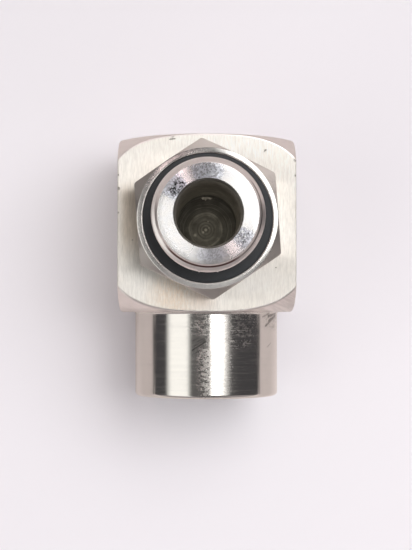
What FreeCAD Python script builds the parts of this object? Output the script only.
import FreeCAD, Part
import math
import os

# 90 degree hydraulic swivel elbow.
#
# A block of square bar carries a stem on two rows of balls. The stem has a hexagon
# and a G 1/2 A stud with a profile seal ring in its collar. The block ends in a
# round boss with a G 1/2 female port at right angles to the stem.
#
# Frame (millimetres): the origin is the centre of the block's rear face. +Z runs
# along the swivel axis, out of the stud. The port axis lies half a bar above the
# rear face and points to -Y. All pieces are drawn with Z = 0 on the port axis and
# lifted by half a bar when they are written. Threads are drawn plain.

# ---- block
BAR = 36.0                 # square bar, across flats
HALF = BAR / 2
EDGE_BREAK = 0.3           # radius on the bar edges along Y
END_FACE_R = HALF          # flat turned face on both bar ends
END_ARC_R = 10.4           # rounding outside the flat face
END_ARC_CENTRE_R = 16.35   # distance of the arc centre from the port axis
END_OUTER_R = 26.2         # outside the bar's corners
BOSS_D = 30.2
BOSS_END_Y = -35.7         # mouth face of the boss
BOSS_ROOT_R = 0.5
BOSS_EDGE_R = 0.8
BOSS_SUNK = 2.0            # depth of the boss inside the bar
OVERCUT = 1.0              # how far cutting shapes run past an open face

# ---- G 1/2 port
PORT_D = 18.631            # minor diameter of the thread
PORT_MOUTH_D = 21.9        # 45 degree countersink
PORT_FULL_Y = -18.7        # end of the full-diameter port
PORT_DRILL_D = 11.0        # drilling from the port to the chamber

# ---- swivel bore
BORE_D = 20.1
BORE_FLOOR_Z = 5.6
BORE_LEAD = 0.4            # lead-in chamfer at the block face
CHAMBER_D = 16.0
CHAMBER_Z = -6.6           # end of the full-diameter chamber
DRILL_HALF_ANGLE = 59.0    # half of the 118 degree drill point
DRILL_SLOPE = math.tan(math.radians(90.0 - DRILL_HALF_ANGLE))

# ---- stem
STEM_INNER_Z = 5.8
JOURNAL_D = 20.0
NOSE_RADIAL, NOSE_AXIAL = 0.5, 0.35       # chamfer on the inner end of the journal
STEM_BORE_D = 12.0
STEM_BORE_CHAMFER = 0.4
GROOVE_Z0, GROOVE_Z1 = 6.8, 10.8          # pressure seal groove
GROOVE_D = 17.2
HEX_AF = 27.0
HEX_TURN = 4.2             # degrees from a corner on +Y, towards -X
HEX_Z0, HEX_Z1 = 19.6, 33.2
HEX_CHAMFER = 30.0         # degrees
HEX_FACE_INSET = 0.1       # chamfer start inside the collar radius
HEX_BORE_GAP = 1.0         # keeps the hexagon clear of the stem bore
HEX_RECESS_GAP = 0.3       # keeps it clear of the seal recess
CORE_SETBACK = 0.2         # turned core starts this far inside the hexagon
OVERLAP = 1.0              # overlap of the turned core and the hexagon
COLLAR_D = 26.8
COLLAR_Z = 33.9            # sealing face of the collar
COLLAR_EDGE = 0.25
STUD_LEN = 14.0
STUD_END_Z = COLLAR_Z + STUD_LEN
STUD_D = 20.8              # G 1/2 A major diameter, within 20.671 to 20.955
STUD_END_D = 18.4
RELIEF_D = 17.9            # thread relief inside the seal ring
RELIEF_Z1 = 35.7
RECESS_D = 24.7            # recess for the seal ring
RECESS_Z = 32.5

# ---- balls
BALL_D = 2.381             # 3/32 in balls
BALL_COUNT = 25            # per row
BALL_PITCH_R = (BORE_D + JOURNAL_D) / 4   # midway between bore and journal
RACE_R = 1.22              # radius of the race section
# row: (Z, side of the loading hole: +1 on +X, -1 on -X)
ROWS = {"front": (15.4, 1.0), "rear": (12.4, -1.0)}

# ---- ball-loading holes, closed by a pin and an M3 set screw
# X values are distances from the swivel axis
LOAD_D = 2.42
LOAD_INNER_X = 9.5
PIN_INNER_X = 9.8          # pin end before it is trimmed to bore and race
PIN_OUTER_X = 13.3         # the set screw starts here
PIN_TRIM_LEN = 8.0
SCREW_D = 3.0
SCREW_LEN = 4.0
SCREW_EDGE = 0.3           # chamfer on the outer end
SCREW_HOLE_LEN = 6.0
SCREW_CSK_D = 3.4
SOCKET_AF = 1.5
SOCKET_DEPTH = 1.5
SOCKET_CUT_LEN = 4.0
SOCKET_POINT_LEN = 0.4
SOCKET_POINT_RATIO = 0.86  # point radius over the socket's corner radius

# ---- rings
RING_R0, RING_R1 = GROOVE_D / 2, 10.03    # O-ring and backup rings
ORING_W = 1.9
BACKUP_W = 0.95
BACKUP_GAP = 0.05          # to the groove wall
BACKUP_CHAMFER = 0.1
SEAL_OD, SEAL_ID = 24.6, 18.0
SEAL_Z0, SEAL_Z1 = RECESS_Z, 34.3
WIPER_ID, WIPER_OD = JOURNAL_D, 24.0
WIPER_Z0, WIPER_Z1 = 18.06, HEX_Z0

Vector = FreeCAD.Vector
ORIGIN = Vector(0, 0, 0)
AXES = {"Y": Vector(0, 1, 0), "Z": Vector(0, 0, 1)}


# ================================================================ helpers
def outline_point(radius, height, axis):
    return Vector(radius, height, 0) if axis == "Y" else Vector(radius, 0, height)


def revolve(wire, axis):
    solid = Part.Face(wire).revolve(ORIGIN, AXES[axis], 360)
    # an outline drawn the other way round gives an inside-out solid
    if solid.Volume < 0:
        solid.reverse()
    return solid


def turn(outline, axis):
    """Solid turned from a closed polygon of (radius, height) points."""
    points = [outline_point(radius, height, axis) for radius, height in outline]
    return revolve(Part.makePolygon(points + [points[0]]), axis)


def turn_curved(segments, axis):
    """Solid turned from segments: two points make a line, three an arc."""
    edges = []
    for segment in segments:
        points = [outline_point(radius, height, axis) for radius, height in segment]
        if len(points) == 2:
            edges.append(Part.makeLine(*points))
        else:
            edges.append(Part.Arc(*points).toShape())
    return revolve(Part.Wire(Part.__sortEdges__(edges)), axis)


def race(z):
    return Part.makeTorus(BALL_PITCH_R, RACE_R, Vector(0, 0, z), AXES["Z"])


def side_cylinder(radius, x, length, z, side):
    """Cylinder running outwards along X from distance x."""
    return Part.makeCylinder(radius, length, Vector(side * x, 0, z), Vector(side, 0, 0))


def side_cone(inner_r, outer_r, x, length, z, side):
    return Part.makeCone(inner_r, outer_r, length, Vector(side * x, 0, z), Vector(side, 0, 0))


def corner_radius(across_flats):
    return across_flats / 2 / math.cos(math.radians(30))


def prism(points, direction):
    return Part.Face(Part.makePolygon(points + [points[0]])).extrude(direction)


# ================================================================ housing
def end_profile_y(radius):
    """Y of the rounded +Y bar end at a radius from the port axis."""
    centre_y = HALF - math.sqrt(END_ARC_R ** 2 - (END_FACE_R - END_ARC_CENTRE_R) ** 2)
    return centre_y + math.sqrt(END_ARC_R ** 2 - (radius - END_ARC_CENTRE_R) ** 2)


def make_bar():
    bar = Part.makeBox(BAR, BAR, BAR, Vector(-HALF, -HALF, -HALF))
    long_edges = [edge for edge in bar.Edges
                  if abs(edge.BoundBox.XLength) < 1e-6 and abs(edge.BoundBox.ZLength) < 1e-6]
    bar = bar.makeFillet(EDGE_BREAK, long_edges)

    # turned ends: keep what lies inside this solid of revolution
    mid_r = (END_FACE_R + END_OUTER_R) / 2
    mid_y, outer_y = end_profile_y(mid_r), end_profile_y(END_OUTER_R)
    return bar.common(turn_curved([
        [(0, HALF), (END_FACE_R, HALF)],
        [(END_FACE_R, HALF), (mid_r, mid_y), (END_OUTER_R, outer_y)],
        [(END_OUTER_R, outer_y), (END_OUTER_R, -outer_y)],
        [(END_OUTER_R, -outer_y), (mid_r, -mid_y), (END_FACE_R, -HALF)],
        [(END_FACE_R, -HALF), (0, -HALF)],
        [(0, -HALF), (0, HALF)]], "Y"))


def make_boss():
    """Round boss with a root radius and a rounded rim."""
    boss_r, face_y, end_y = BOSS_D / 2, -HALF, BOSS_END_Y
    sunk_y = face_y + BOSS_SUNK
    root_r = boss_r + BOSS_ROOT_R
    root_y = face_y - BOSS_ROOT_R
    rim_r = boss_r - BOSS_EDGE_R
    rim_y = end_y + BOSS_EDGE_R
    arc_mid = 1.0 - math.sqrt(0.5)      # offset of a quarter arc's middle, per radius
    root_mid, rim_mid = BOSS_ROOT_R * arc_mid, BOSS_EDGE_R * arc_mid
    return turn_curved([
        [(0, sunk_y), (root_r, sunk_y)],
        [(root_r, sunk_y), (root_r, face_y)],
        [(root_r, face_y), (boss_r + root_mid, face_y - root_mid), (boss_r, root_y)],
        [(boss_r, root_y), (boss_r, rim_y)],
        [(boss_r, rim_y), (boss_r - rim_mid, end_y + rim_mid), (rim_r, end_y)],
        [(rim_r, end_y), (0, end_y)],
        [(0, end_y), (0, sunk_y)]], "Y")


def make_port_cut():
    mouth_r, port_r, drill_r = PORT_MOUTH_D / 2, PORT_D / 2, PORT_DRILL_D / 2
    return turn([
        (0, BOSS_END_Y - OVERCUT), (mouth_r + OVERCUT, BOSS_END_Y - OVERCUT),
        (mouth_r, BOSS_END_Y), (port_r, BOSS_END_Y + (mouth_r - port_r)),
        (port_r, PORT_FULL_Y), (drill_r, PORT_FULL_Y + (port_r - drill_r) * DRILL_SLOPE),
        (drill_r, 0), (0, 0)], "Y")


def make_bore_cut():
    """Swivel bore, and the chamber with its drill point."""
    bore_r, chamber_r = BORE_D / 2, CHAMBER_D / 2
    return turn([
        (0, HALF + OVERCUT), (bore_r + BORE_LEAD + OVERCUT, HALF + OVERCUT),
        (bore_r + BORE_LEAD, HALF), (bore_r, HALF - BORE_LEAD),
        (bore_r, BORE_FLOOR_Z), (chamber_r, BORE_FLOOR_Z),
        (chamber_r, CHAMBER_Z), (0, CHAMBER_Z - chamber_r * DRILL_SLOPE)], "Z")


def make_housing():
    body = make_bar().fuse(make_boss()).removeSplitter()
    body = body.cut(make_port_cut())
    body = body.cut(make_bore_cut())
    screw_r, csk_r = SCREW_D / 2, SCREW_CSK_D / 2
    csk_depth = csk_r - screw_r
    for z, side in ROWS.values():
        body = body.cut(race(z))
        body = body.cut(side_cylinder(LOAD_D / 2, LOAD_INNER_X, PIN_OUTER_X - LOAD_INNER_X,
                                      z, side))
        body = body.cut(side_cylinder(screw_r, PIN_OUTER_X, SCREW_HOLE_LEN, z, side))
        body = body.cut(side_cone(screw_r, csk_r + OVERCUT, HALF - csk_depth,
                                  csk_depth + OVERCUT, z, side))
    return body


# ================================================================ stem
def make_turned_stem():
    journal_r, bore_r, groove_r = JOURNAL_D / 2, STEM_BORE_D / 2, GROOVE_D / 2
    stud_r, stud_end_r, relief_r = STUD_D / 2, STUD_END_D / 2, RELIEF_D / 2
    recess_r, collar_r = RECESS_D / 2, COLLAR_D / 2
    core_r = collar_r - OVERLAP
    core_z0, core_z1 = HEX_Z0 + CORE_SETBACK, HEX_Z1 - OVERLAP
    chamfer = STEM_BORE_CHAMFER
    return turn([
        (bore_r + chamfer, STEM_INNER_Z), (journal_r - NOSE_RADIAL, STEM_INNER_Z),
        (journal_r, STEM_INNER_Z + NOSE_AXIAL),
        (journal_r, GROOVE_Z0), (groove_r, GROOVE_Z0),
        (groove_r, GROOVE_Z1), (journal_r, GROOVE_Z1),
        (journal_r, core_z0), (core_r, core_z0), (core_r, core_z1), (collar_r, core_z1),
        (collar_r, COLLAR_Z - COLLAR_EDGE), (collar_r - COLLAR_EDGE, COLLAR_Z),
        (recess_r, COLLAR_Z), (recess_r, RECESS_Z),
        (relief_r, RECESS_Z), (relief_r, RELIEF_Z1),
        (stud_r, RELIEF_Z1 + (stud_r - relief_r)),
        (stud_r, STUD_END_Z - (stud_r - stud_end_r)), (stud_end_r, STUD_END_Z),
        (bore_r + chamfer, STUD_END_Z), (bore_r, STUD_END_Z - chamfer),
        (bore_r, STEM_INNER_Z + chamfer)], "Z")


def make_hexagon():
    """Chamfered hexagon, hollow round the stem bore and the seal recess."""
    corner_r = corner_radius(HEX_AF)
    angles = [math.radians(90 + HEX_TURN + 60 * i) for i in range(6)]
    points = [Vector(corner_r * math.cos(angle), corner_r * math.sin(angle), HEX_Z0)
              for angle in angles]
    hexagon = prism(points, Vector(0, 0, HEX_Z1 - HEX_Z0))

    outer_r = corner_r + OVERCUT
    face_r = COLLAR_D / 2 - HEX_FACE_INSET
    rise = (outer_r - face_r) * math.tan(math.radians(HEX_CHAMFER))
    inner_r = STEM_BORE_D / 2 + HEX_BORE_GAP
    recess_r = RECESS_D / 2 + HEX_RECESS_GAP
    return hexagon.common(turn([
        (inner_r, HEX_Z0), (face_r, HEX_Z0), (outer_r, HEX_Z0 + rise),
        (outer_r, HEX_Z1 - rise), (face_r, HEX_Z1), (recess_r, HEX_Z1),
        (recess_r, HEX_Z1 - OVERLAP), (inner_r, HEX_Z1 - OVERLAP)], "Z"))


def make_stem():
    stem = make_turned_stem().fuse(make_hexagon()).removeSplitter()
    for z, _ in ROWS.values():
        stem = stem.cut(race(z))
    return stem


# ================================================================ balls, pins, screws
def make_ball_row(z):
    balls = []
    for i in range(BALL_COUNT):
        angle = math.radians(360.0 / BALL_COUNT * (i + 0.5))
        centre = Vector(BALL_PITCH_R * math.cos(angle), BALL_PITCH_R * math.sin(angle), z)
        balls.append(Part.makeSphere(BALL_D / 2, centre))
    return Part.makeCompound(balls)


def make_pin(z, side):
    """Pin whose inner end completes the race and the bore wall."""
    pin = side_cylinder(LOAD_D / 2, PIN_INNER_X, PIN_OUTER_X - PIN_INNER_X, z, side)
    bore = Part.makeCylinder(BORE_D / 2, PIN_TRIM_LEN, Vector(0, 0, z - PIN_TRIM_LEN / 2),
                             AXES["Z"])
    return pin.cut(race(z)).cut(bore)


def make_set_screw(z, side):
    screw_r = SCREW_D / 2
    end_x = PIN_OUTER_X + SCREW_LEN
    screw = side_cylinder(screw_r, PIN_OUTER_X, SCREW_LEN - SCREW_EDGE, z, side)
    screw = screw.fuse(side_cone(screw_r, screw_r - SCREW_EDGE, end_x - SCREW_EDGE,
                                 SCREW_EDGE, z, side))
    corner_r = corner_radius(SOCKET_AF)
    floor_x = end_x - SOCKET_DEPTH
    angles = [math.radians(60 * i) for i in range(6)]
    points = [Vector(side * floor_x, corner_r * math.cos(angle), z + corner_r * math.sin(angle))
              for angle in angles]
    socket = prism(points, Vector(side * SOCKET_CUT_LEN, 0, 0))
    point = side_cone(0.0, corner_r * SOCKET_POINT_RATIO, floor_x - SOCKET_POINT_LEN,
                      SOCKET_POINT_LEN, z, side)
    return screw.cut(socket).cut(point).removeSplitter()


# ================================================================ rings
def make_pressure_ring():
    """Squeezed O-ring, an oval section in the middle of the groove."""
    mid_z = (GROOVE_Z0 + GROOVE_Z1) / 2
    mid_r = (RING_R0 + RING_R1) / 2
    half_width = ORING_W / 2
    half_flat = half_width - (RING_R1 - RING_R0) / 2
    low, high = mid_z - half_flat, mid_z + half_flat
    return turn_curved([
        [(RING_R0, low), (RING_R0, high)],
        [(RING_R0, high), (mid_r, mid_z + half_width), (RING_R1, high)],
        [(RING_R1, high), (RING_R1, low)],
        [(RING_R1, low), (mid_r, mid_z - half_width), (RING_R0, low)]], "Z")


def make_backup_ring(z0):
    """Flat ring from z0 upwards, chamfered on its outer edges."""
    z1 = z0 + BACKUP_W
    edge_r = RING_R1 - BACKUP_CHAMFER
    return turn([
        (RING_R0, z0), (edge_r, z0), (RING_R1, z0 + BACKUP_CHAMFER),
        (RING_R1, z1 - BACKUP_CHAMFER), (edge_r, z1), (RING_R0, z1)], "Z")


def make_stud_seal():
    """Profile ring: flat back, bevelled outer rim, front face stepped down at the bore."""
    outer_r, inner_r = SEAL_OD / 2, SEAL_ID / 2
    step_z = SEAL_Z1 - 0.35
    return turn([
        (inner_r, SEAL_Z0), (outer_r, SEAL_Z0), (outer_r, SEAL_Z1 - 0.25),
        (outer_r - 0.2, SEAL_Z1), (inner_r + 1.3, SEAL_Z1),
        (inner_r + 0.9, step_z), (inner_r, step_z)], "Z")


def make_wiper():
    """Dust wiper with a lip at its rim towards the block face."""
    inner_r, outer_r = WIPER_ID / 2, WIPER_OD / 2
    web_z = WIPER_Z0 + 0.35
    return turn([
        (inner_r, web_z), (outer_r - 0.9, web_z), (outer_r - 0.45, WIPER_Z0),
        (outer_r - 0.1, WIPER_Z0), (outer_r, WIPER_Z0 + 0.12),
        (outer_r, WIPER_Z1 - 0.2), (outer_r - 0.2, WIPER_Z1), (inner_r, WIPER_Z1)], "Z")


# ================================================================ output
parts = {
    "housing": make_housing(),
    "stem": make_stem(),
    "stud_seal_ring": make_stud_seal(),
    "dust_wiper": make_wiper(),
    "pressure_o_ring": make_pressure_ring(),
    "inner_backup_ring": make_backup_ring(GROOVE_Z0 + BACKUP_GAP),
    "outer_backup_ring": make_backup_ring(GROOVE_Z1 - BACKUP_GAP - BACKUP_W),
}
for row, (z, side) in ROWS.items():
    parts[row + "_ball_row"] = make_ball_row(z)
    parts[row + "_loading_pin"] = make_pin(z, side)
    parts[row + "_set_screw"] = make_set_screw(z, side)

os.makedirs("parts", exist_ok=True)
for name, shape in parts.items():
    shape.translate(Vector(0, 0, HALF))
    shape.exportStep("parts/" + name + ".step")
